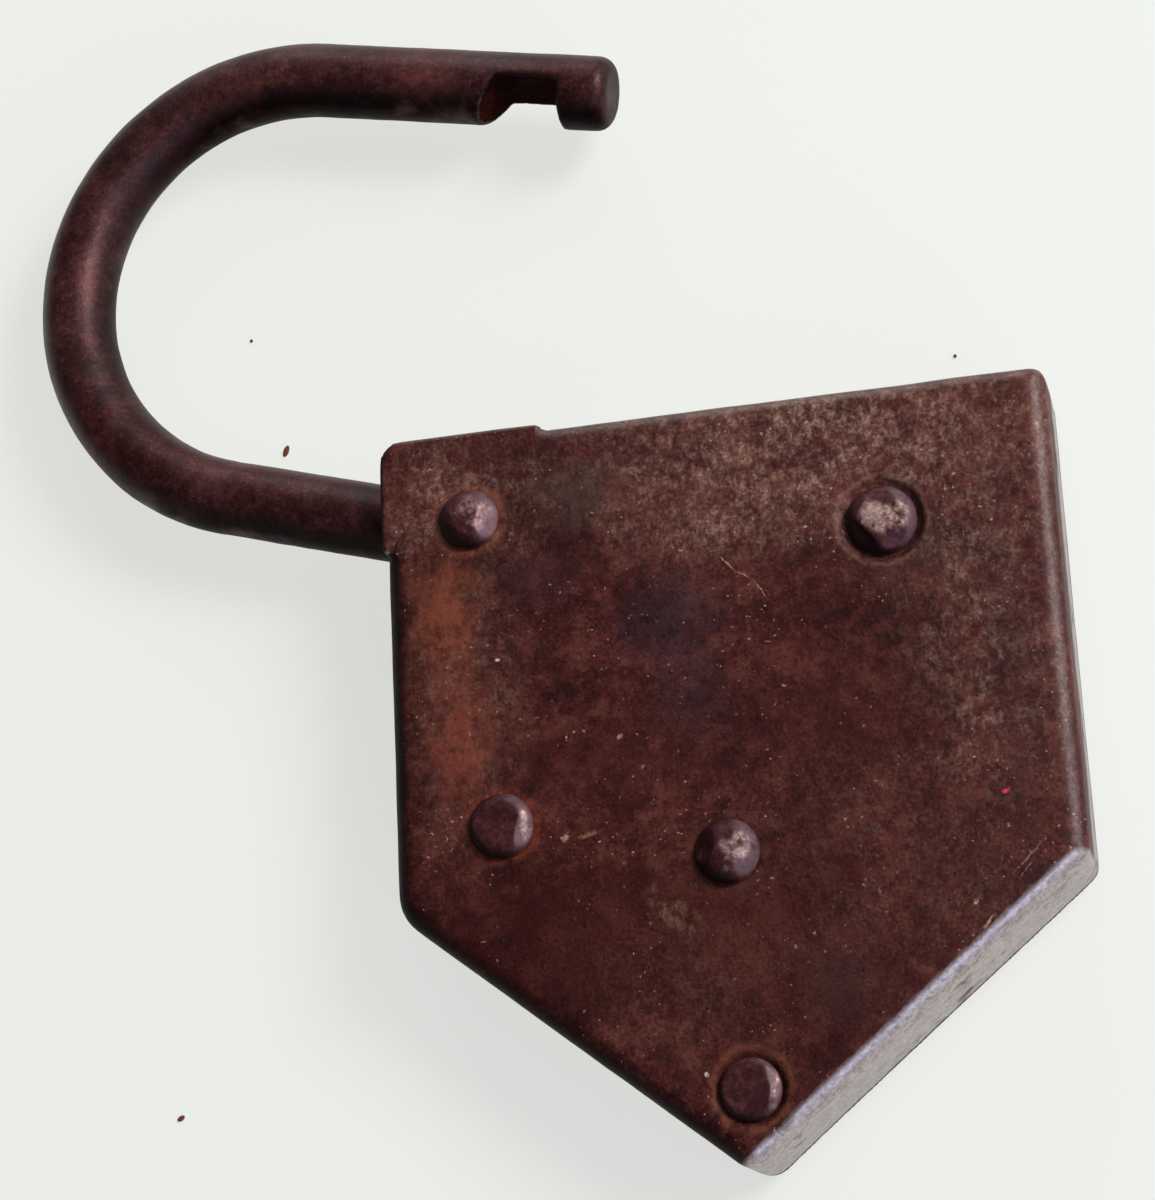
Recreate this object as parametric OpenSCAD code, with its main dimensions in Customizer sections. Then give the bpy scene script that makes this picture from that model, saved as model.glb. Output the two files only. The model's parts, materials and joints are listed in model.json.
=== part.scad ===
// Old riveted iron padlock with a pointed lower end and a swinging shackle, lying on its cover plate.
// Origin: on the outer face of the cover plate, in the middle of the case. +Y runs up the case towards
// the shackle, +Z out of the visible face. All sizes are in millimetres and angles in degrees.

/* [Case] */
// Width of the case
case_w = 73; // [66:0.5:90]
// Height of the case's straight sides
side_h = 52.6; // [50:0.2:64]
// Depth of the pointed lower end, below the straight sides
point_h = 29.2; // [24:0.2:36]
// Thickness of the case, cover plate included
case_t = 15.6; // [14.6:0.1:20]
// Distance from the top edge down to the origin
origin_down = 41; // [38:0.5:44]
// Thickness of the pressed shell's sheet
sheet_t = 1.6; // [1.2:0.1:2]
// Thickness of the flat cover plate
cover_t = 1.6; // [1.3:0.1:2.4]
// How far the cover plate's edge lies inside the shell's
cover_inset = 0.3; // [0.1:0.05:0.6]
// Outer radius of the fold round the face
fold_r = 2.6; // [2.2:0.1:3.4]
// Plan radius of the top left corner, at the shackle
corner_shackle_r = 2.2; // [1:0.1:4]
// Plan radius of the worn lower left corner
corner_worn_r = 5; // [3:0.1:7]
// Plan radius of the pointed end
corner_point_r = 2.4; // [1:0.1:4]
// Plan radius of the lower right corner
corner_lower_r = 2; // [1:0.1:4]
// Plan radius of the top right corner
corner_top_r = 1.5; // [1:0.1:4]

/* [Shackle corner] */
// Distance from the shackle pivot to the end of the cut in the top wall
cut_right = 8.2; // [7:0.1:10]
// How far the flat corner of the face stands out past the fold
flat_proud = 0.2; // [0.2:0.1:1.2]

/* [Shackle] */
// Diameter of the shackle's bar
bar_d = 8.6; // [7:0.1:10.4]
// Distance from the case's right side to the free leg's axis, closed
leg_in = 9; // [8:0.1:11]
// Height of the bow's centre line above the pivot, closed
bow_h = 55.8; // [46:0.2:68]
// How much tighter the bow's radius is than half the distance between the legs
bow_tuck = 1; // [0:0.1:2]
// How far the free leg reaches below the pivot, closed
leg_tip = 5.6; // [4:0.1:7]
// Rounding of the free leg's end
tip_r = 1.8; // [0.6:0.1:2.6]
// Lower end of the bolt notch, above the pivot
notch_low = 0.1; // [0:0.1:1]
// Height of the bolt notch's floor
notch_h = 7.6; // [6:0.1:8.4]
// Depth of the bolt notch
notch_deep = 4.3; // [3.4:0.1:4.7]
// Length of the notch's sloped end
notch_slope = 2.4; // [1:0.1:3]
// Radius of the forged eye round the pivot
eye_r = 5.6; // [5:0.1:6.4]
// Angle that the shackle stands open
open_angle = 77.8; // [60:0.1:78]

/* [Rivets] */
// Diameter of the rivet shanks
shank_d = 5; // [4:0.1:6]
// Shackle rivet, in from the left side
pivot_in = 10; // [9.5:0.1:11.5]
// Shackle rivet, down from the top edge
pivot_down = 10; // [9.5:0.1:11]
// Guide rivet, in from the inner side of the closed free leg
guide_in = 4.9; // [4.6:0.1:5.7]
// Guide rivet, down from the top edge
guide_down = 15.4; // [15:0.1:16]
// Side rivet, in from the left side
side_in = 12.3; // [12.2:0.1:14]
// Side rivet, down from the top edge
side_down = 44.2; // [42:0.1:46]
// Tip rivet, right of the middle
tip_x = 0.6; // [-1:0.1:1]
// Tip rivet, above the pointed end
tip_up = 8.3; // [7.8:0.1:12]
// Diameter of the flush rivet ends on the cover plate
countersink_d = 7.4; // [6.6:0.1:8.4]
// Depth of the countersinks in the cover plate
countersink_h = 1.1; // [0.6:0.1:1.2]
// Diameter of the dish round the guide rivet
guide_dish_d = 9.2; // [8.6:0.1:10.4]
// Diameter of the dish round the tip rivet
tip_dish_d = 7.8; // [7.2:0.1:9]
// Depth of both dishes
dish_h = 0.6; // [0.3:0.1:0.8]
// Shackle rivet's head: diameter, height, width of its flat top
shackle_head = [6.8, 1.9, 1.8]; // [1:0.1:9]
// Guide rivet's head: diameter, height, width of its flat top
guide_head = [7.6, 2, 3.8]; // [1:0.1:9]
// Side rivet's head: diameter, height, width of its flat top
side_head = [7.1, 1.5, 4.2]; // [1:0.1:9]
// Tip rivet's head: diameter, height, width of its flat top
tip_head = [6.6, 1.2, 5]; // [1:0.1:9]
// Key pin's head: diameter, height, width of its flat top
key_head = [7, 2.1, 1.6]; // [1:0.1:9]

/* [Lock] */
// Key pin, right of the middle
key_x = -0.2; // [-1:0.1:1]
// Key pin, down from the top edge
key_down = 49.1; // [48:0.1:50]
// Diameter of the key pin
key_pin_d = 3.4; // [2.8:0.1:4]
// Diameter of the collar that clamps the key pin to the face
collar_d = 8; // [6:0.1:9]
// Height of that collar
collar_h = 1.2; // [0.8:0.1:2]
// How far the key pin's end lies inside the cover plate's outer face
pin_recess = 0.9; // [0:0.1:2]
// Diameter of the keyhole's round part
keyhole_d = 8.4; // [7.4:0.1:9.6]
// Width of the keyhole's slot
key_slot_w = 3.4; // [2.6:0.1:4]
// Reach of the key's bit from the key pin
key_reach = 11.6; // [10.5:0.1:12.5]
// Thickness of the bolt plate
bolt_t = 4; // [3:0.1:5]
// Width of the bolt's web
web_w = 19; // [16:0.2:20]
// Left end of the bolt's upper arm
arm_left = 3; // [0:0.2:5]
// Width of the bolt's talon, between its horns
talon_w = 9; // [7:0.2:11]
// Gap between the key's bit and the talon
talon_gap = 0.6; // [0.3:0.1:1]
// Height of the horns
horn_h = 4.2; // [3:0.1:5]
// Bevel on the bolt's nose
nose_bevel = 1; // [0.4:0.1:1.4]
// Width of the bolt plate left round its side slot
lobe_w = 2.2; // [1.8:0.1:2.3]
// Width of the bolt's lower prong
prong_w = 3.2; // [2.4:0.1:4]
// Outer diameter of the distance sleeves
sleeve_d = 8; // [7:0.1:8.6]
// Outer diameter of the tip rivet's sleeve
tip_sleeve_d = 6.6; // [6:0.1:6.8]
// Outer radius of the ward rings
ward_r = 7; // [6:0.1:7.4]
// Thickness of the ward rings' wall
ward_t = 0.8; // [0.6:0.1:1.2]
// Height of the ward rings
ward_h = 2; // [1.2:0.1:2.6]
// Gap in the ward rings, as an angle
ward_gap = 50; // [30:1:70]
// Thickness of the leaf spring's strip
spring_t = 0.6; // [0.4:0.1:0.8]
// Width of the leaf spring's strip
spring_w = 5; // [4:0.1:6]
// Diameter of the spring post
post_d = 4; // [3:0.1:4.6]
// Spring post, in from the right side
post_in = 6.5; // [6:0.1:7.5]
// Spring post, above the key pin
post_up = 6; // [5:0.1:8]
// How far the spring post stands out of its spring
post_over = 1.5; // [0.5:0.1:2]

/* [Clearances] */
// Radial clearance of a fixed shank in its hole
fit_clear = 0.04; // [0.02:0.01:0.1]
// Radial clearance of a shank in a moving piece
run_clear = 0.08; // [0.04:0.01:0.1]
// Gap between faces that slide on each other
face_clear = 0.05; // [0.02:0.01:0.1]
// Gap between the open shackle and the end of the cut in the side wall
cut_clear = 0.43; // [0.2:0.01:1]
// Gap round the free leg in its hole
leg_clear = 0.3; // [0.2:0.05:0.6]
// Gap between the bolt and the leg as it swings past
swing_clear = 0.6; // [0.4:0.1:1]
// Gap between the bolt's nose and the sides of its notch
nose_clear = 0.35; // [0.2:0.05:0.6]
// Gap between the thrown bolt's nose and the floor of its notch
nose_stop = 0.5; // [0.3:0.1:1]
// Spare length at the ends of the bolt's slots
slot_spare = 0.25; // [0.1:0.05:0.5]
// Gap between the leaf spring and the bolt
spring_clear = 0.3; // [0.2:0.05:0.4]

/* [Hidden] */
$fn = 64;
slice_t = 0.01;
arc_step = 15;
corner_steps = 5;
least_r = 0.3;
past = 1;
// The straight pivot leg runs on into the bow, a hair thinner, so that the two join as one solid
seam = 1;
seam_step = 0.04;

// Levels
inside_low = cover_t;
inside_high = case_t - sheet_t;
mid_z = (inside_low + inside_high) / 2;

// Case outline, anticlockwise from the shackle's corner
top_y = origin_down;
side_y = top_y - side_h;
point_y = side_y - point_h;
half_w = case_w / 2;
corners = [[-half_w, top_y], [-half_w, side_y], [0, point_y], [half_w, side_y], [half_w, top_y]];
corner_radii = [corner_shackle_r, corner_worn_r, corner_point_r, corner_lower_r, corner_top_r];

// Rivet places
shank_r = shank_d / 2;
bar_r = bar_d / 2;
leg_x = half_w - leg_in;
pivot = [-half_w + pivot_in, top_y - pivot_down];
guide = [leg_x - bar_r - guide_in, top_y - guide_down];
side = [-half_w + side_in, top_y - side_down];
tip = [tip_x, point_y + tip_up];
key = [key_x, top_y - key_down];
post = [half_w - post_in, key.y + post_up];

// Closed shackle, measured from the pivot
leg_gap = leg_x - pivot.x;
bow_r = leg_gap / 2 - bow_tuck;
bow_centre = [leg_gap - bow_r, bow_h - bow_r];
bow_far = norm(bow_centre);
lean = atan2(bow_centre.y, bow_centre.x) + asin(bow_r / bow_far);
pivot_leg = sqrt(bow_far * bow_far - bow_r * bow_r);
inner_edge = leg_gap - bar_r;
open_rise = 180 - lean - open_angle;
cut_below = bar_r / cos(open_rise) - (pivot_in - sheet_t) * tan(open_rise) + cut_clear;
hole_sweep = inner_edge - sqrt(inner_edge * inner_edge - pivot_down * pivot_down);

// Bolt, drawn back
wall_y = top_y - sheet_t;
nose_x = pivot.x + sqrt(pow(inner_edge, 2) - pow(wall_y - pivot.y, 2)) - swing_clear;
bolt_travel = leg_x - bar_r + notch_deep - nose_stop - nose_x;
nose_low = pivot.y + notch_low + nose_clear;
nose_top = min(pivot.y + notch_low + notch_h - nose_clear, wall_y - nose_clear);
guide_half = shank_r + run_clear;
arm_x = leg_x - bar_r - swing_clear - bolt_travel;
prong_x = nose_x - nose_bevel;
prong_low = guide.y - guide_half - prong_w;
talon_y = key.y + key_reach + talon_gap;
horn_y = talon_y - horn_h;
lobe_r = guide_half + lobe_w;

iron = "#4b322f";
worn_iron = "#6b4a44";
bar_iron = "#3a2226";
inner_steel = "#7d7672";

function unit(v) = v / norm(v);
function inward(a, b) = let (e = unit(b - a)) [-e.y, e.x];

// Points of the case outline moved in by d, with each corner's own radius
function outline_points(d) = [
    for (i = [0 : 4])
        let (n1 = inward(corners[(i + 4) % 5], corners[i]), n2 = inward(corners[i], corners[(i + 1) % 5]),
             r = max(corner_radii[i] - d, least_r), c = corners[i] + (d + r) * (n1 + n2) / (1 + n1 * n2),
             start = atan2(-n1.y, -n1.x), turn = acos(n1 * n2))
        for (k = [0 : corner_steps])
            c + r * [cos(start + turn * k / corner_steps), sin(start + turn * k / corner_steps)]
];

module outline(d = 0) {
    polygon(outline_points(d));
}

// Closed block whose upper rim is rounded by r, from z = low up to z = high
module folded_block(d, r, low, high) {
    translate([0, 0, low]) linear_extrude(high - r - low) outline(d);
    hull()
        for (a = [0 : arc_step : 90])
            translate([0, 0, high - r + (r - slice_t) * sin(a)])
                linear_extrude(slice_t) outline(d + r * (1 - cos(a)));
}

module at(place, z = 0) {
    translate([place.x, place.y, z]) children();
}

// Square corner of the case that the shackle's cut takes away
module shackle_corner() {
    out = flat_proud + past;
    translate([-half_w - out, pivot.y - cut_below])
        square([out + pivot_in + cut_right, pivot_down + cut_below + out]);
}

// Round-ended slot along X from x1 to x2
module slot(x1, x2, y, r) {
    translate([x1, y - r]) square([x2 - x1, 2 * r]);
    for (x = [x1, x2]) translate([x, y]) circle(r);
}

// Countersink in the cover plate, or the flush rivet end that fills it
module countersink(extra = 0) {
    cylinder(h = countersink_h, r1 = countersink_d / 2 + extra, r2 = shank_r + extra);
}

// Hollow with sloping sides, pressed into the face round a rivet
module dish(d) {
    cylinder(h = dish_h + past, d1 = d - 2 * dish_h, d2 = d + 2 * past);
}

// Low rivet head with a flat hammered top, standing on z = 0; its size is [diameter, height, flat width]
module rivet_head(size) {
    d = size[0];
    h = size[1];
    flat_d = size[2];
    rotate_extrude()
        polygon(concat([[0, 0]],
            [for (a = [0 : arc_step : 90]) [flat_d / 2 + (d - flat_d) / 2 * cos(a), h * sin(a)]],
            [[0, h]]));
}

// Rivet through both plates, with its head on the face at head_z and its end flush in the cover plate
module through_rivet(place, head_z, head) {
    at(place) {
        translate([0, 0, head_z]) rivet_head(head);
        cylinder(h = head_z + slice_t, r = shank_r);
        countersink();
    }
}

module distance_sleeve(place, low, high, d = sleeve_d) {
    at(place, low) difference() {
        cylinder(h = high - low, d = d);
        translate([0, 0, -past]) cylinder(h = high - low + 2 * past, r = shank_r + fit_clear);
    }
}

module eye_washer(low, high) {
    at(pivot, low) difference() {
        cylinder(h = high - low, r = eye_r);
        translate([0, 0, -past]) cylinder(h = high - low + 2 * past, r = shank_r + fit_clear);
    }
}

// Ring round the key pin with a gap at its left, which a matching cut in the key's bit passes
module ward_ring(low) {
    at(key, low) rotate([0, 0, 180 + ward_gap / 2])
        rotate_extrude(angle = 360 - ward_gap) translate([ward_r - ward_t, 0]) square([ward_t, ward_h]);
}

// Pressed pan: the face, its folded walls and the flat corner that carries the shackle
module case_shell() {
    color(iron) difference() {
        union() {
            folded_block(0, fold_r, inside_low, case_t);
            translate([0, 0, inside_high]) linear_extrude(sheet_t) intersection() {
                outline(-flat_proud);
                shackle_corner();
            }
        }
        folded_block(sheet_t, fold_r - sheet_t, inside_low - past, inside_high);
        translate([0, 0, inside_low - past]) linear_extrude(inside_high - inside_low + past) shackle_corner();
        for (place = [pivot, guide, side, tip])
            at(place, inside_high - past) cylinder(h = sheet_t + 2 * past, r = shank_r + fit_clear);
        at(key, inside_high - past) cylinder(h = sheet_t + 2 * past, r = key_pin_d / 2 + fit_clear);
        at(guide, case_t - dish_h) dish(guide_dish_d);
        at(tip, case_t - dish_h) dish(tip_dish_d);
        translate([0, top_y + past, mid_z]) rotate([90, 0, 0])
            linear_extrude(sheet_t + 2 * past) slot(leg_x - hole_sweep, leg_x, 0, bar_r + leg_clear);
    }
}

// Flat plate closing the pan, with the keyhole and the countersinks of the flush rivet ends
module cover_plate() {
    color(iron) difference() {
        linear_extrude(cover_t) outline(cover_inset);
        for (place = [pivot, guide, side, tip]) {
            at(place, -past) cylinder(h = cover_t + 2 * past, r = shank_r + fit_clear);
            at(place) countersink(fit_clear);
        }
        at(post, -past) cylinder(h = cover_t + 2 * past, r = post_d / 2 + fit_clear);
        at(key, -past) {
            cylinder(h = cover_t + 2 * past, d = keyhole_d);
            translate([-key_slot_w / 2, -key_reach]) cube([key_slot_w, key_reach, cover_t + 2 * past]);
        }
    }
}

// Profile of the bolt notch, seen from the face: square at its lower end and sloped at its upper one
module notch_profile() {
    high = notch_low + notch_h;
    floor_x = inner_edge + notch_deep;
    out = inner_edge - past;
    slope_out = notch_slope * (notch_deep + past) / notch_deep;
    polygon([[floor_x, notch_low], [floor_x, high], [out, high + slope_out], [out, notch_low]]);
}

// Bent round bar, drawn closed with its pivot on the origin
module closed_shackle() {
    difference() {
        union() {
            translate([0, 0, -bar_r]) cylinder(h = bar_d, r = eye_r);
            rotate([0, 0, lean]) rotate([0, 90, 0]) cylinder(h = pivot_leg + seam, r = bar_r - seam_step);
            translate([bow_centre.x, bow_centre.y, 0])
                rotate_extrude(angle = lean + 90) translate([bow_r, 0]) circle(bar_r);
            translate([leg_gap, bow_centre.y, 0]) rotate([90, 0, 0]) rotate_extrude()
                polygon(concat([[0, 0], [bar_r, 0]],
                    [for (a = [0 : arc_step : 90]) [bar_r - tip_r + tip_r * cos(a),
                                              bow_centre.y + leg_tip - tip_r + tip_r * sin(a)]],
                    [[0, bow_centre.y + leg_tip]]));
        }
        translate([0, 0, -bar_r - past]) cylinder(h = bar_d + 2 * past, r = shank_r + run_clear);
        translate([0, 0, -bar_r - past]) linear_extrude(bar_d + 2 * past) notch_profile();
    }
}

module shackle() {
    color(bar_iron) at(pivot, mid_z) rotate([0, 0, open_angle]) closed_shackle();
}

module shackle_rivet() {
    color(worn_iron) through_rivet(pivot, case_t, shackle_head);
}

module shackle_washer_front() {
    color(inner_steel) eye_washer(mid_z + bar_r + face_clear, inside_high);
}

module shackle_washer_back() {
    color(inner_steel) eye_washer(inside_low, mid_z - bar_r - face_clear);
}

module guide_rivet() {
    color(worn_iron) through_rivet(guide, case_t - dish_h, guide_head);
}

module side_rivet() {
    color(worn_iron) through_rivet(side, case_t, side_head);
}

module tip_rivet() {
    color(worn_iron) through_rivet(tip, case_t - dish_h, tip_head);
}

// Drill pin on which a pipe key turns: riveted to the face and clamped by a collar under it
module key_pin() {
    color(worn_iron) at(key) {
        translate([0, 0, case_t]) rivet_head(key_head);
        translate([0, 0, pin_recess]) cylinder(h = case_t - pin_recess + slice_t, d = key_pin_d);
        translate([0, 0, inside_high - collar_h]) cylinder(h = collar_h, d = collar_d);
    }
}

// Outline of the bolt, drawn back: nose at the upper right, fork over the guide rivet, slot over the
// side rivet and a talon above the key pin
module bolt_outline() {
    web_half = web_w / 2;
    talon_half = talon_w / 2;
    slot_left = guide.x - bolt_travel - slot_spare;
    lobe_left = side.x - bolt_travel - slot_spare - lobe_r;
    difference() {
        polygon([[arm_left, nose_top], [nose_x - nose_bevel, nose_top], [nose_x, nose_top - nose_bevel],
                 [nose_x, nose_low], [arm_x, nose_low], [arm_x, guide.y], [prong_x, guide.y],
                 [prong_x, prong_low], [web_half, prong_low], [web_half, horn_y],
                 [talon_half, horn_y], [talon_half, talon_y], [-talon_half, talon_y],
                 [-talon_half, horn_y], [-web_half, horn_y],
                 [side.x + lobe_r, side.y - lobe_r], [lobe_left, side.y - lobe_r],
                 [lobe_left, side.y + lobe_r], [side.x + lobe_r, side.y + lobe_r],
                 [arm_left, prong_low + prong_w]]);
        slot(slot_left, nose_x + past, guide.y, guide_half);
        slot(side.x - bolt_travel - slot_spare, side.x, side.y, guide_half);
    }
}

module bolt() {
    color(inner_steel) translate([0, 0, mid_z - bolt_t / 2]) linear_extrude(bolt_t) bolt_outline();
}

module guide_sleeve_front() {
    color(inner_steel) distance_sleeve(guide, mid_z + bolt_t / 2 + face_clear, inside_high);
}

module guide_sleeve_back() {
    color(inner_steel) distance_sleeve(guide, inside_low, mid_z - bolt_t / 2 - face_clear);
}

module side_sleeve_front() {
    color(inner_steel) distance_sleeve(side, mid_z + bolt_t / 2 + face_clear, inside_high);
}

module side_sleeve_back() {
    color(inner_steel) distance_sleeve(side, inside_low, mid_z - bolt_t / 2 - face_clear);
}

module tip_sleeve() {
    color(inner_steel) distance_sleeve(tip, inside_low, inside_high, tip_sleeve_d);
}

module ward_ring_front() {
    color(inner_steel) ward_ring(inside_high - ward_h);
}

module ward_ring_back() {
    color(inner_steel) ward_ring(inside_low);
}

// Strip coiled once round its post, its rolled tip pressing up on the bolt's lower prong
module leaf_spring() {
    coil_r = post_d / 2 + fit_clear;
    roll_r = spring_t;
    contact = [web_w / 2 + bolt_travel + spring_clear + roll_r, prong_low - spring_clear - roll_r];
    start = post + [-coil_r - spring_t / 2, 0];
    arm = contact - start;
    color(inner_steel) translate([0, 0, mid_z - spring_w / 2]) linear_extrude(spring_w) {
        difference() {
            translate(post) circle(coil_r + spring_t);
            translate(post) circle(coil_r);
        }
        translate(start) rotate(atan2(arm.y, arm.x)) translate([0, -spring_t / 2]) square([norm(arm), spring_t]);
        translate(contact) circle(roll_r);
    }
}

// Plain post riveted into the cover plate, its end filed flush
module spring_post() {
    color(inner_steel) at(post) cylinder(h = mid_z + spring_w / 2 + post_over, d = post_d);
}

case_shell();
cover_plate();
shackle();
shackle_rivet();
shackle_washer_front();
shackle_washer_back();
guide_rivet();
side_rivet();
tip_rivet();
key_pin();
bolt();
guide_sleeve_front();
guide_sleeve_back();
side_sleeve_front();
side_sleeve_back();
tip_sleeve();
ward_ring_front();
ward_ring_back();
leaf_spring();
spring_post();
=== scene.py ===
# Old riveted iron padlock, lying open on a pale table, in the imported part's frame: X across the case,
# Y up towards the shackle, Z out of the face that carries the rivet heads. Sizes and places on the
# lock are in millimetres, and MM turns them into Blender's metres. The room and its lamps are in metres.
import json
import math
import bpy
import numpy as np
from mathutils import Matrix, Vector


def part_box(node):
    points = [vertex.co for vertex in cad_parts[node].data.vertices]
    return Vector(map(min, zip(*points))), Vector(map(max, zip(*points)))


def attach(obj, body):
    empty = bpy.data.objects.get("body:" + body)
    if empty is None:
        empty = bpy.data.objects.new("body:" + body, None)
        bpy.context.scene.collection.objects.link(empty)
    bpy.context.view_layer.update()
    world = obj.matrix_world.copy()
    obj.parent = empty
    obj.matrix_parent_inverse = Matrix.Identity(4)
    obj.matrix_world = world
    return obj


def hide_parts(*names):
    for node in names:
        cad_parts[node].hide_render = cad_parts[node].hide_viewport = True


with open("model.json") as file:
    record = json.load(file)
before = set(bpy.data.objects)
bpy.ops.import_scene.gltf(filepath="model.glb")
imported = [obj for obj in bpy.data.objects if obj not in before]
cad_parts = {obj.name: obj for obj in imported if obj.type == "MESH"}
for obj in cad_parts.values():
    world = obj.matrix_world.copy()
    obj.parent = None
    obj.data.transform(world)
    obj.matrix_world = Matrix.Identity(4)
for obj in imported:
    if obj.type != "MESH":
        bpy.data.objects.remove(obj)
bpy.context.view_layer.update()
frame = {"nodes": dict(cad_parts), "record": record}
MM = 0.001
scene = bpy.context.scene

# ---- Camera ----
# Held by hand above the lower right of the lock, about 30 cm up, and turned so that the top of the case
# rises a little to the right. Its long lens keeps the side walls almost edge-on.
camera = bpy.data.objects.new("camera", bpy.data.cameras.new("camera"))
scene.collection.objects.link(camera)
camera.data.lens = 87.0
camera.data.clip_start = 0.01
camera.location = Vector((55.43, -64.16, 305.86)) * MM
camera.rotation_euler = [math.radians(a) for a in (15.191, 14.3455, -2.7316)]
scene.camera = camera


# ---- Table ----
# Plain pale laminate, a little green, matt enough to hold a soft shadow and no reflection of the lock.
# It is far larger than the view. Seen directly or in gloss it is mostly its own glow, so shadows are
# faint. A few crumbs of rust have fallen on it.
def srgb(red, green, blue):
    """Colour as the shaders take it, from the usual 0 to 255 values"""
    return tuple((c / 255 / 12.92 if c < 11 else ((c / 255 + 0.055) / 1.055) ** 2.4)
                 for c in (red, green, blue)) + (1.0,)


TABLE_SPAN = 4  # metres
TABLE_GAP = 0.06 * MM  # keeps the table and the lock's back from lying in one plane
TABLE_GLOW = 0.66
bpy.ops.object.select_all(action="DESELECT")
bpy.ops.mesh.primitive_plane_add(size=TABLE_SPAN, location=(0, 0, -TABLE_GAP))
table = bpy.context.active_object
table.name = "table"
laminate = bpy.data.materials.new("pale_laminate")
laminate.use_nodes = True
tree = laminate.node_tree
shader = tree.nodes["Principled BSDF"]
shader.inputs["Base Color"].default_value = srgb(200, 206, 202)
shader.inputs["Roughness"].default_value = 0.6
shader.inputs["Specular IOR Level"].default_value = 0.2
glow = tree.nodes.new("ShaderNodeEmission")
glow.inputs["Color"].default_value = srgb(255, 255, 250)
rays = tree.nodes.new("ShaderNodeLightPath")
seen = tree.nodes.new("ShaderNodeMath")
seen.operation = "ADD"
tree.links.new(rays.outputs["Is Camera Ray"], seen.inputs[0])
tree.links.new(rays.outputs["Is Glossy Ray"], seen.inputs[1])
share = tree.nodes.new("ShaderNodeMath")
share.operation = "MULTIPLY"
share.inputs[1].default_value = TABLE_GLOW
tree.links.new(seen.outputs[0], share.inputs[0])
blend = tree.nodes.new("ShaderNodeMixShader")
tree.links.new(share.outputs[0], blend.inputs[0])
tree.links.new(shader.outputs[0], blend.inputs[1])
tree.links.new(glow.outputs[0], blend.inputs[2])
tree.links.new(blend.outputs[0], tree.nodes["Material Output"].inputs["Surface"])
table.data.materials.append(laminate)

CRUMBS = (  # place on the table, length, and the way it points in degrees
    ((-52.9, 47.3), 1.5, 70), ((-66.8, -29.4), 1.0, 30), ((-57.0, 61.7), 0.4, 0), ((26.0, 48.3), 0.4, 0))
CRUMB_Z = 0.15
crumb_brown = bpy.data.materials.new("crumb_brown")
crumb_brown.use_nodes = True
shader = crumb_brown.node_tree.nodes["Principled BSDF"]
shader.inputs["Base Color"].default_value = srgb(104, 52, 36)
shader.inputs["Roughness"].default_value = 0.9
for (x, y), length, turn in CRUMBS:
    bpy.ops.mesh.primitive_ico_sphere_add(subdivisions=2, radius=0.5 * MM,
                                          location=(x * MM, y * MM, CRUMB_Z * MM),
                                          rotation=(0, 0, math.radians(turn)))
    crumb = bpy.context.active_object
    crumb.scale = (length, 0.35 + 0.25 * length, 0.4)
    crumb.data.materials.append(crumb_brown)


# ---- Light ----
# A soft lamp to the upper right lights the lock and throws its shadow to the lower left. A weak one
# beyond the shackle and a bluish window to the lower right run along the folds. The room is pale to
# the right and dark to the left and overhead, so that the left of each rivet head is dark too.
def panel(name, toward, distance, size, power, colour):
    """Square lamp in the direction `toward` from the lock, facing it; distance and size in metres"""
    lamp = bpy.data.objects.new(name, bpy.data.lights.new(name, "AREA"))
    scene.collection.objects.link(lamp)
    lamp.data.shape = "SQUARE"
    lamp.data.size = size
    lamp.data.energy = power
    lamp.data.color = colour
    direction = Vector(toward).normalized()
    lamp.location = direction * distance
    lamp.rotation_euler = direction.to_track_quat("Z", "Y").to_euler()


panel("side_lamp", (0.66, 0.34, 0.67), 0.9, 0.34, 7.4, (1.0, 0.98, 0.96))
panel("far_lamp", (-0.10, 0.90, 0.42), 1.0, 0.50, 1.8, (1.0, 0.99, 0.97))
panel("window", (0.50, -0.66, 0.51), 0.9, 0.36, 1.9, (0.54, 0.58, 1.0))

PALE_SIDE = (0.90, 0.30, -0.30)
ROOM_RANGE = {"From Min": -0.7, "From Max": 0.8, "To Min": 0.08, "To Max": 0.75}
world = bpy.data.worlds.new("room")
world.use_nodes = True
tree = world.node_tree
toward = tree.nodes.new("ShaderNodeTexCoord")
side = tree.nodes.new("ShaderNodeVectorMath")
side.operation = "DOT_PRODUCT"
side.inputs[1].default_value = PALE_SIDE
tree.links.new(toward.outputs["Generated"], side.inputs[0])
walls = tree.nodes.new("ShaderNodeMapRange")
walls.interpolation_type = "SMOOTHSTEP"
for name, value in ROOM_RANGE.items():
    walls.inputs[name].default_value = value
tree.links.new(side.outputs["Value"], walls.inputs["Value"])
tree.links.new(walls.outputs[0], tree.nodes["Background"].inputs["Strength"])
tree.nodes["Background"].inputs["Color"].default_value = (0.88, 0.98, 0.98, 1.0)
scene.world = world
scene.view_settings.view_transform = "Standard"


# ---- Cover plate ----
# Flat sheet iron that closes the back of the case, with the keyhole in it and five holes for the
# flush ends of the rivets and the spring's post. Cut with shears and its edge blunted with a file.
def take_up(piece):
    """Make `piece` the only selected object"""
    bpy.ops.object.select_all(action="DESELECT")
    piece.select_set(True)
    bpy.context.view_layer.objects.active = piece


def blank_from(node, name):
    """The CAD node's own shape as one closed skin, ready to be worked"""
    piece = bpy.data.objects.new(name, frame["nodes"][node].data.copy())
    scene.collection.objects.link(piece)
    piece.data.materials.clear()
    take_up(piece)
    bpy.ops.object.mode_set(mode="EDIT")
    bpy.ops.mesh.select_all(action="SELECT")
    bpy.ops.mesh.remove_doubles(threshold=0.002 * MM)
    bpy.ops.mesh.customdata_custom_splitnormals_clear()
    bpy.ops.object.mode_set(mode="OBJECT")
    return piece


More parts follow.
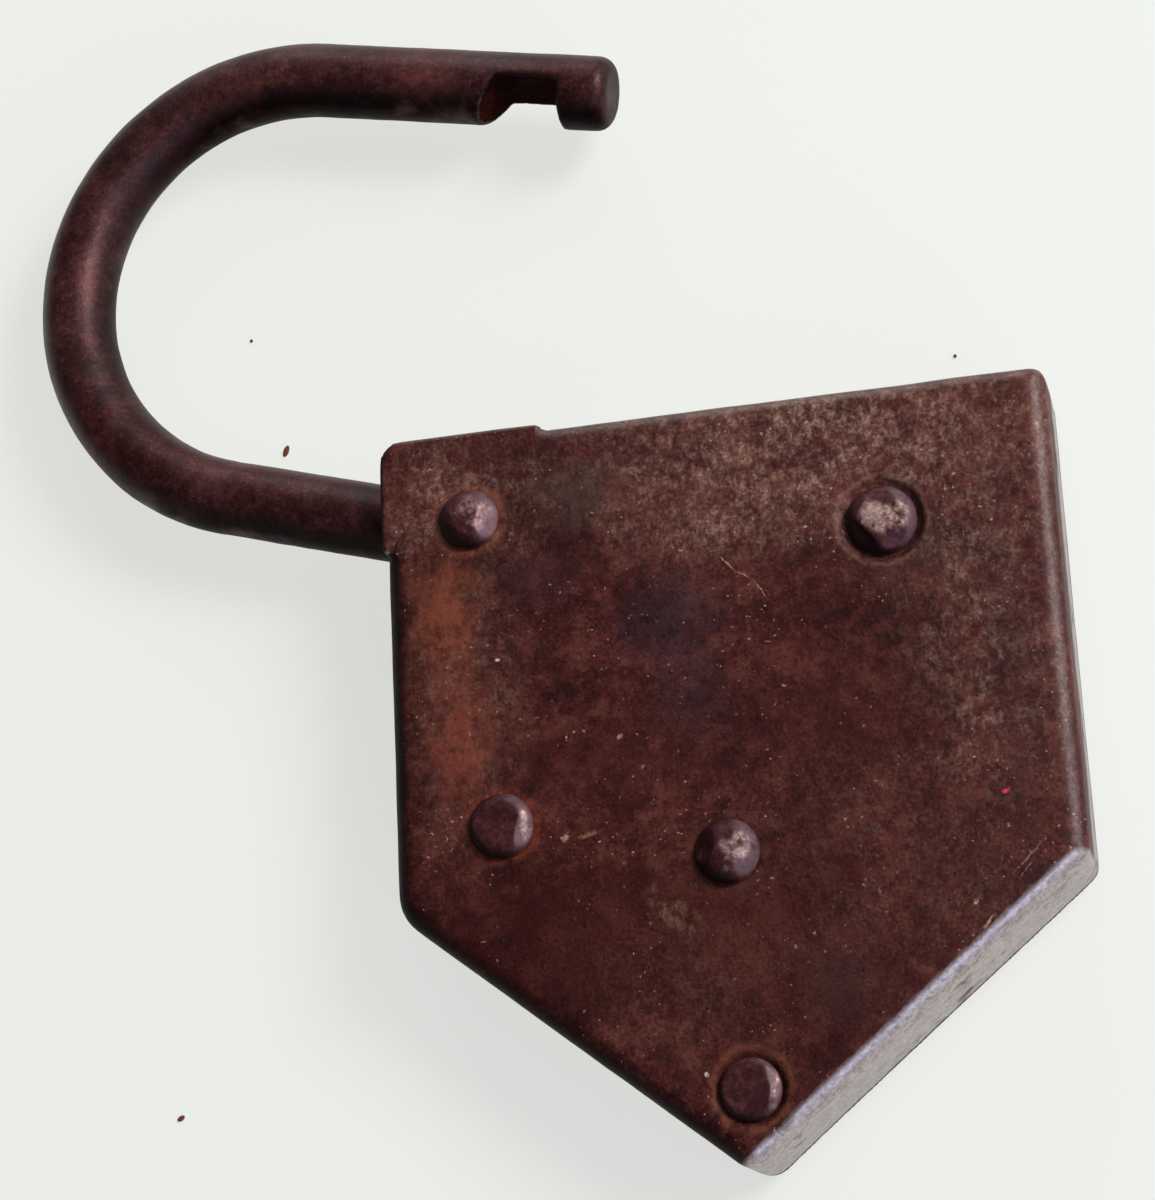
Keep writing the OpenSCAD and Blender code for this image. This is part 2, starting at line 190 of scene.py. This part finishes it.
def modify(piece, kind, **settings):
    """Add one modifier and apply it"""
    take_up(piece)
    made = piece.modifiers.new(kind.lower(), kind)
    for name, value in settings.items():
        setattr(made, name, value)
    bpy.ops.object.modifier_apply(modifier=made.name)


def smooth(piece, rounds):
    """Blunt the edges a little in each round"""
    modify(piece, "SMOOTH", factor=0.5, iterations=rounds)


def age(piece, cell, waves, rounds=3):
    """Remesh into even cells, blunt the edges, then raise waves: pairs of patch size and height, in mm"""
    pattern = bpy.data.objects.new("pattern", piece.data.copy())
    scene.collection.objects.link(pattern)
    modify(piece, "REMESH", mode="VOXEL", voxel_size=cell * MM, use_smooth_shade=True)
    smooth(piece, rounds)
    modify(piece, "SHRINKWRAP", target=pattern, wrap_method="NEAREST_SURFACEPOINT")
    smooth(piece, 3)
    bpy.data.objects.remove(pattern)
    for patch_size, height in waves:
        cloud = bpy.data.textures.new(f"{piece.name}_waves_{patch_size}", "CLOUDS")
        cloud.noise_scale = patch_size * MM
        cloud.noise_depth = 2
        modify(piece, "DISPLACE", texture=cloud, texture_coords="LOCAL", strength=2 * height * MM,
               mid_level=0.5)


def feed(tree, socket, value):
    """Link another node's output to a socket, or set the socket's own value"""
    if isinstance(value, bpy.types.NodeSocket):
        tree.links.new(value, socket)
    else:
        socket.default_value = value


def put(tree, kind, inputs, output=0, **settings):
    """One shader node with its inputs and settings; gives one of its outputs"""
    made = tree.nodes.new("ShaderNode" + kind)
    for name, value in settings.items():
        setattr(made, name, value)
    for name, value in inputs.items():
        feed(tree, made.inputs[name], value)
    return made.outputs[output]


def over(tree, share, below, above):
    """Colour `above` laid over colour `below` where `share` is 1"""
    made = tree.nodes.new("ShaderNodeMix")
    made.data_type = "RGBA"
    for index, value in ((0, share), (6, below), (7, above)):
        feed(tree, made.inputs[index], value)
    return made.outputs[2]


def sums(tree, operation, first, second):
    """Arithmetic on two numbers, held between 0 and 1"""
    return put(tree, "Math", {0: first, 1: second}, operation=operation, use_clamp=True)


def times(tree, first, second):
    return sums(tree, "MULTIPLY", first, second)


def plus(tree, first, second):
    return sums(tree, "ADD", first, second)


def noise(tree, where, size, detail=3.0, roughness=0.6):
    """Cloudy pattern with patches about `size` mm across, from 0 to 1"""
    return put(tree, "TexNoise", {"Vector": where, "Scale": 1 / (size * MM), "Detail": detail,
                                  "Roughness": roughness})


def between(tree, value, low, high):
    """0 below `low`, 1 above `high`, smooth between; also the other way round"""
    return put(tree, "MapRange", {"Value": value, "From Min": low, "From Max": high},
               interpolation_type="SMOOTHSTEP")


def spread(tree, value, low, high):
    """`low` where `value` is 0, `high` where it is 1"""
    return put(tree, "MapRange", {"Value": value, "To Min": low, "To Max": high})


def tones(tree, value, *stops):
    """Colours run together along `value`; each stop is a place and a colour"""
    made = tree.nodes.new("ShaderNodeValToRGB")
    while len(made.color_ramp.elements) < len(stops):
        made.color_ramp.elements.new(1.0)
    for element, (place, colour) in zip(made.color_ramp.elements, stops):
        element.position = place
        element.color = colour
    feed(tree, made.inputs[0], value)
    return made.outputs[0]


def stir(tree, where, size, amount):
    """Coordinates disturbed by cloudy noise `size` mm across, by up to about `amount` mm"""
    wobble = put(tree, "TexNoise", {"Vector": where, "Scale": 1 / (size * MM), "Detail": 3.0}, output=1)
    centred = put(tree, "VectorMath", {0: wobble, 1: (0.5, 0.5, 0.5)}, operation="SUBTRACT")
    shift = put(tree, "VectorMath", {0: centred, 3: 4 * amount * MM}, operation="SCALE")
    return put(tree, "VectorMath", {0: where, 1: shift}, operation="ADD")


def start_finish(name):
    """New material; gives it, its node tree, the object coordinates and those a little disturbed"""
    material = bpy.data.materials.new(name)
    material.use_nodes = True
    tree = material.node_tree
    where = put(tree, "TexCoord", {}, output=3)
    return material, tree, where, stir(tree, where, 2.2, 1.5)


def end_finish(tree, colour, roughness, height, depth, metal=0.0, gloss=0.15):
    """Join colour, roughness, relief and bare metal to the shader; `depth` is the relief's height in mm"""
    shader = tree.nodes["Principled BSDF"]
    shader.inputs["Specular IOR Level"].default_value = gloss
    feed(tree, shader.inputs["Base Color"], colour)
    feed(tree, shader.inputs["Roughness"], roughness)
    feed(tree, shader.inputs["Metallic"], metal)
    relief = put(tree, "Bump", {"Height": height, "Distance": depth * MM, "Strength": 1.0})
    feed(tree, shader.inputs["Normal"], relief)


def put_on(piece, material):
    """Give the piece one material all over"""
    piece.data.materials.clear()
    piece.data.materials.append(material)


def rust_tones(tree, where, dark, mid, light):
    """Brown skin of old iron before the marks of each piece: its colour, fine cloud and grain"""
    broad = noise(tree, where, 9, 3)
    fine = noise(tree, where, 1.5, 6, 0.72)
    grain = noise(tree, where, 0.4, 2, 0.5)
    value = plus(tree, times(tree, broad, 0.35), times(tree, fine, 0.4))
    value = plus(tree, value, times(tree, grain, 0.25))
    return tones(tree, value, (0.38, dark), (0.50, mid), (0.62, light)), fine, grain


# Cloudy noise looks alike at every scale round the frame's origin. That point lies on the plate, where
# it would show as rays, so the plate reads the noise some way off, in metres.
OFF_ORIGIN = (0.21, 0.17, 0.13)
plate = blank_from("cover_plate", "back_plate")
age(plate, 0.38, ((9, 0.03),), 10)
smooth(plate, 8)
plate_rust, tree, where, _ = start_finish("back_plate_rust")
where = put(tree, "VectorMath", {0: where, 1: OFF_ORIGIN}, operation="ADD")
colour, fine, grain = rust_tones(tree, where, srgb(40, 20, 18), srgb(66, 38, 32), srgb(94, 60, 50))
bloom = times(tree, between(tree, noise(tree, where, 11, 5, 0.65), 0.44, 0.72),
              between(tree, fine, 0.3, 0.65))
colour = over(tree, bloom, colour, srgb(120, 62, 38))
rub_and_highlight = times(tree, between(tree, noise(tree, where, 4, 6, 0.75), 0.52, 0.68), 0.45)
colour = over(tree, rub_and_highlight, colour, srgb(112, 92, 86))
roughness = spread(tree, fine, 0.40, 0.72)
end_finish(tree, colour, roughness, plus(tree, fine, times(tree, grain, 0.4)), 0.10, rub_and_highlight)
put_on(plate, plate_rust)
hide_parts("cover_plate")
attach(plate, "case")


# ---- Pressed case ----
# The face and its side walls are one sheet, pressed over a former so that the rim is rounded. Its
# corner at the shackle was left flat. Rusted brown all over, dusty where dirt has dried on it, and
# rubbed to grey iron on the top and right-hand folds and walls, where weaker pale bands on the folds are a
# painted sheen. Painted shade darkens the left-hand folds and walls and the foot of the walls.
def middle(node):
    """Middle of a CAD node in plan, at its top, in mm"""
    low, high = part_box(node)
    return Vector(((low.x + high.x) / 2, (low.y + high.y) / 2, high.z)) / MM


def skin(piece):
    """Where each vertex lies, in mm, and the way it faces"""
    points = piece.data.vertices
    return np.array([v.co for v in points]) / MM, np.array([v.normal for v in points])


def mark(piece, name, values):
    """Keep a number for each vertex, which the piece's material reads under `name`"""
    kept = piece.data.attributes.new(name, "FLOAT", "POINT")
    kept.data.foreach_set("value", values.astype(np.float32))


def marked(tree, name):
    """The number that mark() kept under `name`"""
    return put(tree, "Attribute", {}, output=2, attribute_name=name)


def minus(tree, first, second):
    return sums(tree, "SUBTRACT", first, second)


def most(tree, first, second):
    return sums(tree, "MAXIMUM", first, second)


def reach(tree, where, place, size, angle=0.0):
    """Distance from `place`, counted in half-widths `size`, both in mm, turned by `angle` about Z"""
    local = put(tree, "Mapping", {"Vector": where, "Location": Vector(place) * MM,
                                  "Rotation": (0, 0, math.radians(angle)), "Scale": Vector(size) * MM},
                vector_type="TEXTURE")
    return put(tree, "VectorMath", {0: local}, output=1, operation="LENGTH")


def reach_on_face(tree, where, place, size, depth=8, angle=0.0):
    """reach() from a place on the case's face, for a mark that goes `depth` mm into the metal"""
    return reach(tree, where, (*place, middle("case_shell").z), (*size, depth), angle)


# Where the sheet is rubbed bare, by the way it faces; the weaker bands on the right and top folds
# are a painted sheen in pale iron. The hollows round two of the rivets face these ways too, but nothing
# rubs them.
LOWER_RIGHT = (0.62, -0.78, 0)
RIGHT_RUST_FROM, RIGHT_RUST_FULL = 6.5, 9.5  # up the right wall, brown takes over between these heights
TOP_EDGE_Y = middle("shackle_rivet").y + 4  # the upper edge is rubbed beyond this
HOLLOW_R = 5.4
SEAM_SHADE_TOP = 3.3  # the painted shade along the cover plate ends at this height
pressed = blank_from("case_shell", "pressed_case")
age(pressed, 0.5, ((16, 0.10), (5, 0.03)), 6)
places, facing = skin(pressed)
lower_right = np.interp(facing @ LOWER_RIGHT, (0.42, 0.56), (0, 1))
lower_right = lower_right * np.interp(-facing[:, 1], (0.12, 0.28), (0, 1))
# Painted sheen: the weak middle bands of right and upper, which lie on the folds
right = np.interp(facing[:, 0], (0.35, 0.60, 0.85, 0.96, 0.99), (0, 0.25, 0.03, 0.03, 0.9))
rusting = np.interp(places[:, 2], (RIGHT_RUST_FROM, RIGHT_RUST_FULL), (1, 0.06))
right *= np.where(facing[:, 0] > 0.85, rusting, 1)
upper = np.interp(facing[:, 1], (0.35, 0.60, 0.80, 0.96), (0, 0.22, 0.10, 0.6))
upper *= places[:, 1] > TOP_EDGE_Y
bare_and_sheen = np.maximum.reduce((lower_right, right, upper))
for node in ("guide_rivet", "tip_rivet"):
    away = np.hypot(*(places[:, :2] - middle(node).xy).T)
    bare_and_sheen *= np.interp(away, (HOLLOW_R - 0.8, HOLLOW_R), (0, 1))
bare_and_sheen *= np.interp(places[:, 2], (SEAM_SHADE_TOP - 0.5, SEAM_SHADE_TOP - 0.1), (0, 1))
mark(pressed, "bare_and_sheen", bare_and_sheen)
# Painted shade: the left-facing folds and walls, blackened in the case's material
mark(pressed, "shaded_left", np.interp(-facing[:, 0], (0.10, 0.5), (0, 1)))

case_rust, tree, where, ragged = start_finish("case_rust")
colour, fine, grain = rust_tones(tree, where, srgb(33, 7, 6), srgb(62, 23, 20), srgb(92, 47, 39))
blotch = noise(tree, ragged, 3.0, 5, 0.70)
pale_blotch = times(tree, between(tree, blotch, 0.50, 0.68), 0.36)
colour = over(tree, pale_blotch, colour, srgb(106, 58, 50))
dark_blotch = times(tree, between(tree, blotch, 0.50, 0.36), 0.50)
colour = over(tree, dark_blotch, colour, srgb(36, 9, 9))

# Dried dirt: tan strokes, thickest along the top and down the right side
DIRTY = (  # middle, half-widths and strength
    ((14, 35), (36, 13), 1.0), ((2, 31), (18, 10), 1.0), ((28, 16), (11, 32), 0.60),
    ((18, -12), (22, 16), 0.25), ((-28, 33), (13, 10), 0.75), ((-6, -20), (14, 12), 0.18),
    ((-28, 12), (8, 22), 0.4))
strokes = put(tree, "Mapping", {"Vector": stir(tree, where, 1.2, 0.12), "Scale": (1.3, 0.85, 1.0)})
dirt = between(tree, noise(tree, strokes, 1.1, 4, 0.75), 0.38, 0.70)
clumps = between(tree, noise(tree, where, 4, 4, 0.7), 0.28, 0.62)
share = 0.0
for place, size, strength in DIRTY:
    layer = between(tree, reach_on_face(tree, ragged, place, size), 1.15, 0.1)
    share = most(tree, share, times(tree, layer, strength))
share = times(tree, share, clumps)
colour = over(tree, times(tree, share, 0.16), colour, srgb(116, 80, 70))
share = times(tree, share, dirt)
tan = tones(tree, grain, (0.40, srgb(122, 88, 76)), (0.60, srgb(164, 126, 110)))
colour = over(tree, times(tree, share, 0.9), colour, tan)
sparks = times(tree, between(tree, noise(tree, where, 0.5, 1, 0.5), 0.70, 0.77),
               between(tree, noise(tree, where, 8, 3), 0.42, 0.58))
colour = over(tree, times(tree, sparks, 0.75), colour, srgb(178, 140, 128))

# Small dark pits, then stains: orange rust down the left side, blackish oil in the middle and the
# lower right, and darker maroon over the lower half
STAINS = (  # middle, half-widths, strength and colour
    ((-29.5, 20), (5, 9), 0.75, (124, 62, 42)), ((-28.5, 6), (5, 10), 0.7, (122, 58, 44)),
    ((-5, 17.5), (8, 7), 0.65, (42, 34, 42)), ((-3, 9), (6, 7), 0.5, (40, 28, 38)),
    ((-19, 23.5), (7, 4), 0.55, (44, 24, 34)), ((10, -22), (7, 6), 0.6, (44, 34, 32)),
    ((10, 6), (16, 9), 0.4, (60, 24, 20)), ((-13, 3), (14, 8), 0.4, (64, 24, 20)),
    ((-20, -16), (20, 12), 0.75, (44, 6, 4)), ((-4, -14), (14, 8), 0.5, (52, 12, 8)),
    ((4, -27), (12, 10), 0.35, (48, 15, 11)), ((30.5, 4), (3, 36), 0.45, (44, 24, 30)),
    ((20, 22), (9, 6), 0.4, (48, 36, 34)), ((-14, 33), (7, 5), 0.5, (66, 56, 50)),
    ((12, -14), (20, 14), 0.45, (54, 14, 12)))
pits = between(tree, noise(tree, where, 0.9, 1, 0.5), 0.66, 0.74)
colour = over(tree, times(tree, pits, 0.5), colour, srgb(30, 12, 12))
for place, size, strength, tint in STAINS:
    share = between(tree, reach_on_face(tree, ragged, place, size), 1.1, 0.1)
    share = times(tree, times(tree, share, strength), between(tree, fine, 0.24, 0.62))
    colour = over(tree, share, colour, srgb(*tint))

# Rust crept out round the rivets, and a rubbed line round the guide rivet's dish
RINGS = (  # rivet, radius and half the width of its ring, strength and colour
    ("shackle_rivet", 3.7, 0.9, 0.6, (124, 70, 50)), ("side_rivet", 3.8, 0.9, 0.55, (116, 54, 36)),
    ("tip_rivet", 4.1, 0.9, 0.55, (112, 62, 44)), ("key_pin", 4.0, 0.8, 0.3, (84, 56, 44)),
    ("guide_rivet", 4.9, 0.45, 0.3, (140, 104, 88)), ("guide_rivet", 4.1, 0.7, 0.25, (52, 38, 36)))
ALL_HEIGHTS = 1e6
nearly = stir(tree, where, 1.4, 0.3)
for node, radius, width, strength, tint in RINGS:
    spot = middle(node)
    away = reach(tree, nearly, (spot.x, spot.y, 0), (1, 1, ALL_HEIGHTS))
    share = times(tree, between(tree, away, radius + width, radius),
                  between(tree, away, radius - width, radius))
    share = times(tree, times(tree, share, strength), between(tree, fine, 0.34, 0.58))
    colour = over(tree, share, colour, srgb(*tint))

# Small chips and scratches
CHIPS = (  # middle, half-widths, angle and colour
    ((28.8, -4.4), (0.5, 0.4), 20, (196, 60, 66)), ((-3.8, -30.7), (0.28, 0.28), 0, (200, 180, 166)),
    ((-24.0, 15.0), (0.35, 0.18), 10, (206, 180, 168)), ((24.9, -15.5), (0.4, 0.22), 60, (190, 150, 120)),
    ((-17.3, -5.0), (0.7, 0.35), 60, (150, 112, 92)), ((-14.9, -4.9), (1.5, 0.35), 10, (116, 78, 64)),
    ((-11.0, 5.2), (0.4, 0.3), 30, (160, 120, 98)), ((1.55, 22.85), (1.3, 0.09), -48, (170, 132, 112)),
    ((3.3, 21.4), (1.05, 0.09), -29, (170, 132, 112)), ((5.0, 19.6), (1.55, 0.08), -58, (156, 116, 98)),
    ((30.35, -11.5), (2.8, 0.10), 43, (140, 98, 80)), ((30.1, -12.7), (1.5, 0.09), 53, (130, 88, 72)),
    ((25.9, -17.6), (1.1, 0.2), 49, (160, 124, 102)))
broken = stir(tree, where, 0.7, 0.12)
for place, size, angle, tint in CHIPS:
    share = between(tree, reach_on_face(tree, broken, place, size, 2, angle), 1.1, 0.3)
    share = times(tree, share, between(tree, grain, 0.30, 0.52))
    colour = over(tree, share, colour, srgb(*tint))

# A broad pale scuff below the key pin
scuff = reach_on_face(tree, ragged, (-6.4, -14.2), (4.6, 2.2), 3, -40)
share = times(tree, between(tree, scuff, 1.0, 0.3), dirt)
colour = over(tree, times(tree, share, 0.6), colour, srgb(120, 88, 70))

# Painted shade: black on the left-hand folds and walls, which face away from the lamps, and along the foot
# of the walls at the seam with the cover plate
height_here = put(tree, "SeparateXYZ", {"Vector": nearly}, output=2)
# Painted shade along the foot of the walls, where they meet the cover plate
seam_shade = between(tree, height_here, SEAM_SHADE_TOP * MM, (SEAM_SHADE_TOP - 0.4) * MM)
painted_shade = marked(tree, "shaded_left")
painted_shade = times(tree, painted_shade, between(tree, noise(tree, where, 5, 5, 0.7), 0.20, 0.45))
painted_shade = most(tree, times(tree, painted_shade, 0.92), seam_shade)
black = tones(tree, fine, (0.38, srgb(11, 4, 4)), (0.62, srgb(33, 14, 13)))
colour = over(tree, painted_shade, colour, black)

# Rubbed iron, with islands of brown left in it on the walls below the folds, and a painted sheen where its
# weaker bands lie on the right and top folds
worn_and_sheen = marked(tree, "bare_and_sheen")
worn_and_sheen = times(tree, worn_and_sheen, between(tree, fine, 0.05, 0.30))
kept = most(tree, between(tree, noise(tree, where, 6, 5, 0.65), 0.30, 0.48),
            between(tree, height_here, 11.5 * MM, 13.0 * MM))
worn_and_sheen = times(tree, worn_and_sheen, kept)
hairlines = noise(tree, put(tree, "Mapping", {"Vector": where, "Scale": (0.8, 0.8, 3.0)}), 1.2, 3, 0.7)
hairlines = plus(tree, times(tree, hairlines, 0.35), times(tree, fine, 0.35))
hairlines = plus(tree, hairlines, times(tree, grain, 0.3))
iron = tones(tree, hairlines, (0.40, srgb(145, 132, 129)), (0.60, srgb(197, 186, 182)))
colour = over(tree, worn_and_sheen, colour, iron)
roughness = spread(tree, fine, 0.42, 0.72)
roughness = minus(tree, roughness, times(tree, worn_and_sheen, 0.12))
relief = plus(tree, times(tree, fine, 0.7), times(tree, grain, 0.5))
relief = times(tree, relief, minus(tree, 1.0, times(tree, worn_and_sheen, 0.6)))
relief = minus(tree, relief, times(tree, pits, 0.2))
end_finish(tree, colour, roughness, relief, 0.12, times(tree, worn_and_sheen, 0.9), 0.11)
put_on(pressed, case_rust)
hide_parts("case_shell")
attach(pressed, "case")


# ---- Shackle ----
# Round bar, drawn and bent hot, with an eye forged at the pivot end and a notch filed into the free
# leg for the bolt. Its rust is darker and smoother than the sheet's, polished by handling.
bar = blank_from("shackle", "bent_bar")
age(bar, 0.35, ((12, 0.08), (3, 0.03)))
places, facing = skin(bar)
# Painted shade: the lower and inner sides of the bar, marked here, are blackened in its material
shaded_side = np.interp(-facing[:, 1], (0.35, 0.85), (0, 1))
shaded_side = np.maximum(shaded_side, np.interp(facing[:, 0], (0.55, 0.95), (0, 0.6)))
mark(bar, "shaded_side", shaded_side)

RUST_SPOTS = (  # middle, half-widths, strength and colour
    ((-72, 48, 8), (4, 7, 6), 0.7, (122, 50, 38)), ((-60, 33, 8), (8, 5, 6), 0.5, (110, 44, 34)),
    ((-36, 31, 8), (9, 8, 8), 0.45, (104, 60, 48)), ((-50, 87, 8), (12, 4, 8), 0.4, (96, 40, 34)),
    ((-32, 86, 8), (5, 6, 8), 0.6, (104, 40, 34)))
bar_rust, tree, where, ragged = start_finish("bar_rust")
colour, fine, grain = rust_tones(tree, where, srgb(28, 6, 7), srgb(55, 21, 22), srgb(84, 43, 42))
for place, size, strength, tint in RUST_SPOTS:
    share = between(tree, reach(tree, ragged, place, size), 1.1, 0.1)
    share = times(tree, times(tree, share, strength), between(tree, fine, 0.35, 0.62))
    colour = over(tree, share, colour, srgb(*tint))
flecks = between(tree, noise(tree, where, 0.6, 3, 0.7), 0.56, 0.70)
colour = over(tree, times(tree, flecks, 0.28), colour, srgb(120, 76, 68))

# Painted shade: black along the lower and inner side, where the bar faces away from the lamps
underside_shade = marked(tree, "shaded_side")
underside_shade = times(tree, underside_shade, between(tree, noise(tree, where, 7, 3), 0.25, 0.50))
colour = over(tree, times(tree, underside_shade, 0.9), colour, srgb(12, 4, 4))
polished = times(tree, between(tree, noise(tree, where, 10, 2), 0.35, 0.6), 0.45)
glaze = most(tree, polished, underside_shade)
roughness = spread(tree, fine, 0.30, 0.54)
roughness = plus(tree, roughness, times(tree, underside_shade, 0.2))
relief = plus(tree, times(tree, fine, 0.7), times(tree, grain, 0.3))
end_finish(tree, colour, roughness, relief, 0.06, glaze, 0.3)
put_on(bar, bar_rust)

# Dark red rust in the notch, where no hand has rubbed it, darkened to near black as painted shade in the
# recess: the skin that lies inside the bar's round
leg = next(mount for mount in frame["record"]["mounts"] if mount["name"] == "free_leg")
out = places - np.array(leg["pos_m"]) / MM
along = out @ leg["axis"]
off_axis = np.linalg.norm(out - np.outer(along, leg["axis"]), axis=1)
sunk = np.interp(leg["dims"]["r_mm"] - off_axis, (0.25, 0.6), (0, 1))
sunk *= np.abs(along) < leg["dims"]["length_mm"] / 2 - 1
notch_rust_and_shade, tree, where, _ = start_finish("notch_rust_and_shade")
colour, fine, _ = rust_tones(tree, where, srgb(8, 2, 2), srgb(28, 7, 6), srgb(66, 18, 14))
end_finish(tree, colour, 0.9, fine, 0.08, 0.0, 0.02)
bar.data.materials.append(notch_rust_and_shade)
for face in bar.data.polygons:
    face.material_index = int(sunk[list(face.vertices)].mean() > 0.5)
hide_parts("shackle")
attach(bar, "shackle")


# ---- Rivets and key pin ----
# Soft iron, headed with a hammer on the face. The four rivets end flush in the cover plate and the pin
# stands in the keyhole. Each head has flats of its own from its blows: a blow is where it struck,
# measured from the rivet's middle and down from the top of its head, and the way it leaned.
def headed(node, name, head_h, blows, worn_highlight_place, worn_highlight_size, worn_highlight_tint, worn_highlight_share):
    """One rivet: its blows, then its finish: a pale spot at the given place from its top, part wear and
    part painted highlight, a painted highlight on the right flank and painted shade on the lower left
    flank
    """
    spot = middle(node)
    foot_z = spot.z - head_h
    rivet = blank_from(node, name)
    bpy.ops.object.mode_set(mode="EDIT")
    for x, y, down, lean_x, lean_y in blows:
        bpy.ops.mesh.select_all(action="SELECT")
        bpy.ops.mesh.bisect(plane_co=(spot + Vector((x, y, -down))) * MM, plane_no=(lean_x, lean_y, 1),
                            use_fill=True, clear_outer=True)
    bpy.ops.object.mode_set(mode="OBJECT")
    age(rivet, 0.14, ((1.6, 0.05), (0.6, 0.02)), 4)
    smooth(rivet, 10)
    _, facing = skin(rivet)
    # The lower left flank is marked for painted shade, and the right flank, toward the lamp, for a painted
    # highlight
    mark(rivet, "shaded_side", np.interp(facing @ (-0.75, -0.60, -0.10), (0.04, 0.42), (0, 1)))
    mark(rivet, "rub_and_highlight", np.interp(facing @ (0.86, 0.20, 0), (0.18, 0.50), (0, 1)))

    skin_iron, tree, where, ragged = start_finish(name + "_iron")
    colour, fine, grain = rust_tones(tree, where, srgb(34, 9, 12), srgb(60, 23, 26), srgb(92, 48, 50))
    # Painted highlight: pale tint on the right flank
    flank = times(tree, marked(tree, "rub_and_highlight"), between(tree, fine, 0.20, 0.50))
    colour = over(tree, times(tree, flank, 0.38), colour, srgb(134, 108, 116))
    # Pale iron spot on the lit side of the head: part wear, part painted highlight
    share = between(tree, reach(tree, ragged, spot + Vector(worn_highlight_place), worn_highlight_size), 1.15, 0.25)
    share = times(tree, share, between(tree, fine, 0.32, 0.56))
    bare_and_sheen = times(tree, share, worn_highlight_share)
    iron = tones(tree, grain, (0.35, srgb(*worn_highlight_tint)), (0.65, srgb(208, 174, 166)))
    colour = over(tree, bare_and_sheen, colour, iron)
    # Painted shade: near black on the lower left flank
    colour = over(tree, times(tree, marked(tree, "shaded_side"), 0.88), colour, srgb(20, 5, 6))

    # Rust where the head meets the sheet
    above = put(tree, "SeparateXYZ", {"Vector": stir(tree, where, 0.8, 0.1)}, output=2)
    foot = times(tree, between(tree, above, (foot_z + 0.6) * MM, (foot_z + 0.2) * MM),
                 between(tree, above, (foot_z - 2.0) * MM, (foot_z - 1.0) * MM))
    colour = over(tree, times(tree, foot, fine), colour, srgb(120, 56, 34))
    roughness = spread(tree, fine, 0.38, 0.60)
    metal = plus(tree, times(tree, bare_and_sheen, 0.4), 0.25)
    end_finish(tree, colour, roughness, plus(tree, fine, times(tree, grain, 0.4)), 0.05, metal, 0.25)
    put_on(rivet, skin_iron)
    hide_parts(node)
    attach(rivet, "case")


headed("shackle_rivet", "shackle_rivet_headed", 1.9,
       ((0.8, 0.5, 0.05, 0.25, 0.10), (2.0, -0.6, 0.75, 0.75, -0.20), (-1.6, -1.6, 0.55, -0.45, -0.35)),
       (1.0, 0.1, -0.5), (2.0, 1.9, 1.6), (112, 86, 88), 0.4)
headed("guide_rivet", "guide_rivet_headed", 2.0,
       ((0.4, 0.2, 0.12, 0.06, 0.10), (2.4, 1.2, 0.55, 0.50, 0.35),
        (-2.0, -1.4, 0.45, -0.5, -0.45), (1.6, -2.2, 0.5, 0.35, -0.6)),
       (0.7, -0.3, 0.0), (2.7, 2.3, 1.4), (146, 108, 100), 0.9)
headed("side_rivet", "side_rivet_headed", 1.5,
       ((0, 0, 0.10, -0.05, 0.03), (2.6, -0.6, 0.55, 0.65, -0.2)),
       (2.6, -0.6, -0.7), (1.1, 2.1, 1.1), (156, 128, 130), 0.75)
headed("tip_rivet", "tip_rivet_headed", 1.2,
       ((0, 0, 0.05, -0.04, 0.04), (2.6, 0.5, 0.40, 0.55, 0.1)),
       (2.7, 0.0, -0.6), (0.9, 2.2, 0.9), (138, 108, 108), 0.55)
headed("key_pin", "key_pin_headed", 2.1,
       ((0.6, 0.2, 0.12, 0.15, 0.05), (2.0, -1.0, 0.8, 0.65, -0.35), (-2.0, 0.6, 0.8, -0.7, 0.2)),
       (1.3, -0.4, -0.6), (1.8, 1.9, 1.5), (146, 118, 108), 0.7)


# ---- Lock works ----
# Bolt, spring, washers, sleeves and wards of mild steel, filed by hand and kept from deep rust by old
# grease. They show only through the keyhole and the openings at the shackle, but for the end of the
# spring's post, which is flush in the cover plate.
WORKS = ("shackle_washer_front", "shackle_washer_back", "bolt", "guide_sleeve_front", "guide_sleeve_back",
         "side_sleeve_front", "side_sleeve_back", "tip_sleeve", "ward_ring_front", "ward_ring_back",
         "leaf_spring", "spring_post")
greased, tree, where, ragged = start_finish("greased_steel")
colour, _, _ = rust_tones(tree, where, srgb(58, 44, 36), srgb(104, 94, 86), srgb(146, 138, 130))
filed = put(tree, "Mapping", {"Vector": where, "Rotation": (0, 0, math.radians(35)),
                              "Scale": (9.0, 0.6, 1.0)})
filed = noise(tree, filed, 1.2, 3)
film = between(tree, noise(tree, ragged, 5, 4), 0.42, 0.64)
colour = over(tree, times(tree, film, 0.7), colour, srgb(74, 42, 24))
roughness = spread(tree, filed, 0.28, 0.55)
end_finish(tree, colour, roughness, filed, 0.03, minus(tree, 0.9, times(tree, film, 0.6)), 0.5)
for name in WORKS:
    frame["nodes"][name].material_slots[0].material = greased
